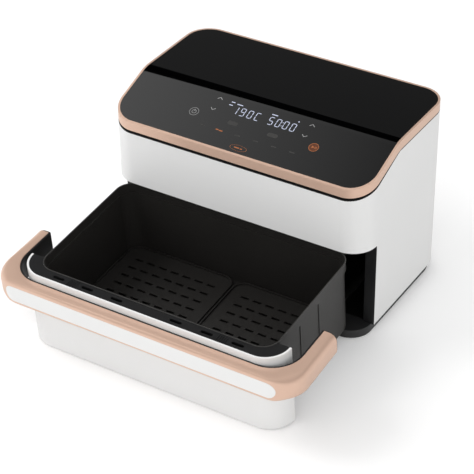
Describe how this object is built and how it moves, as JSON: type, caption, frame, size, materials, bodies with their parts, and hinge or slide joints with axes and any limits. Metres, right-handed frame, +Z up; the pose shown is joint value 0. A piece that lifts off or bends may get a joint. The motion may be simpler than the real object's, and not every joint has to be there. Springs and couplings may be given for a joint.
{
  "type": "air fryer",
  "caption": "Countertop air fryer with one wide pull-out drawer under two heating zones, a wrap-round handle, lift-out crisper plates and a sloped glass control top.",
  "frame": {"origin": "on the counter, under the middle of the whole machine as it stands with its drawer drawn out", "axes": "+X to the right as seen from the front, +Y to the back, +Z up; the drawer comes out towards -Y"},
  "size_m": [0.512, 0.5266, 0.304],
  "materials": {
    "shell_white": "satin white moulding",
    "base_dark": "dark grey moulding",
    "rubber_black": "matt",
    "dark_steel": "black coated sheet steel",
    "frame_black": "fine matt black",
    "nylon_grey": "self-lubricating nylon",
    "rose_gold_metal": "anodised rose gold",
    "rose_gold_satin": "satin rose gold metallised moulding",
    "black_glass": "polished, printed black underneath",
    "display_black": "black display body",
    "board_green": "circuit board",
    "steel": "plain",
    "motor_steel": "painted motor can",
    "fan_aluminium": "pressed",
    "pot_coating": "dark non-stick coating"
  },
  "bodies": {
    "housing": {"housing_shell": "shell_white", "base_plate": "base_dark", "feet": "rubber_black", "cavity_liner": "dark_steel", "cavity_frame": "frame_black", "floor_glides": "nylon_grey", "lid_frame": "frame_black", "trim_ring": "rose_gold_metal", "glass_top": "black_glass", "display_module": "display_black", "control_board": "board_green", "board_screws": "steel", "left_shroud": "steel", "left_heater": "steel", "left_guard": "steel", "left_motor": "motor_steel", "right_shroud": "steel", "right_heater": "steel", "right_guard": "steel", "right_motor": "motor_steel", "motor_bridge": "steel", "temperature_probes": "steel", "rear_grille": "base_dark", "mains_gland": "frame_black", "drawer_switch": "frame_black", "base_screws": "steel"},
    "lip_rollers": {"lip_rollers": "nylon_grey"},
    "drawer": {"pot": "pot_coating", "drawer_skids": "frame_black", "front_panel": "shell_white", "rim_frame": "frame_black", "handle_bar": "rose_gold_satin", "handle_insert": "shell_white", "handle_lining": "frame_black", "handle_screws": "steel", "pot_screws": "steel"},
    "left_fan": {"left_fan": "fan_aluminium"},
    "right_fan": {"right_fan": "fan_aluminium"},
    "left_crisper": {"left_crisper_plate": "pot_coating", "left_bumpers": "rubber_black"},
    "right_crisper": {"right_crisper_plate": "pot_coating", "right_bumpers": "rubber_black"}
  },
  "joints": [
    {"name": "drawer_tip", "type": "hinge", "parent": "housing", "child": "lip_rollers", "pos_m": [0, 0.01531, 0.016], "axis": [-1, 0, 0], "range_deg": [0, 4.88]},
    {"name": "drawer_slide", "type": "slide", "parent": "lip_rollers", "child": "drawer", "axis": [0, 0.9964, 0.0847], "range_m": [0, 0.233]},
    {"name": "left_fan_spin", "type": "hinge", "parent": "housing", "child": "left_fan", "pos_m": [-0.098, 0.15181, 0.2], "axis": [0, 0, 1], "continuous": true},
    {"name": "right_fan_spin", "type": "hinge", "parent": "housing", "child": "right_fan", "pos_m": [0.098, 0.15181, 0.2], "axis": [0, 0, 1], "continuous": true},
    {"name": "left_crisper_lift", "type": "slide", "parent": "drawer", "child": "left_crisper", "axis": [0, -0.0847, 0.9964], "range_m": [0, 0.09]},
    {"name": "right_crisper_lift", "type": "slide", "parent": "drawer", "child": "right_crisper", "axis": [0, -0.0847, 0.9964], "range_m": [0, 0.09]}
  ],
  "couplings": [
    {"joint": "drawer_tip", "follows": "drawer_slide", "rad_per_m": 0.36402}
  ]
}
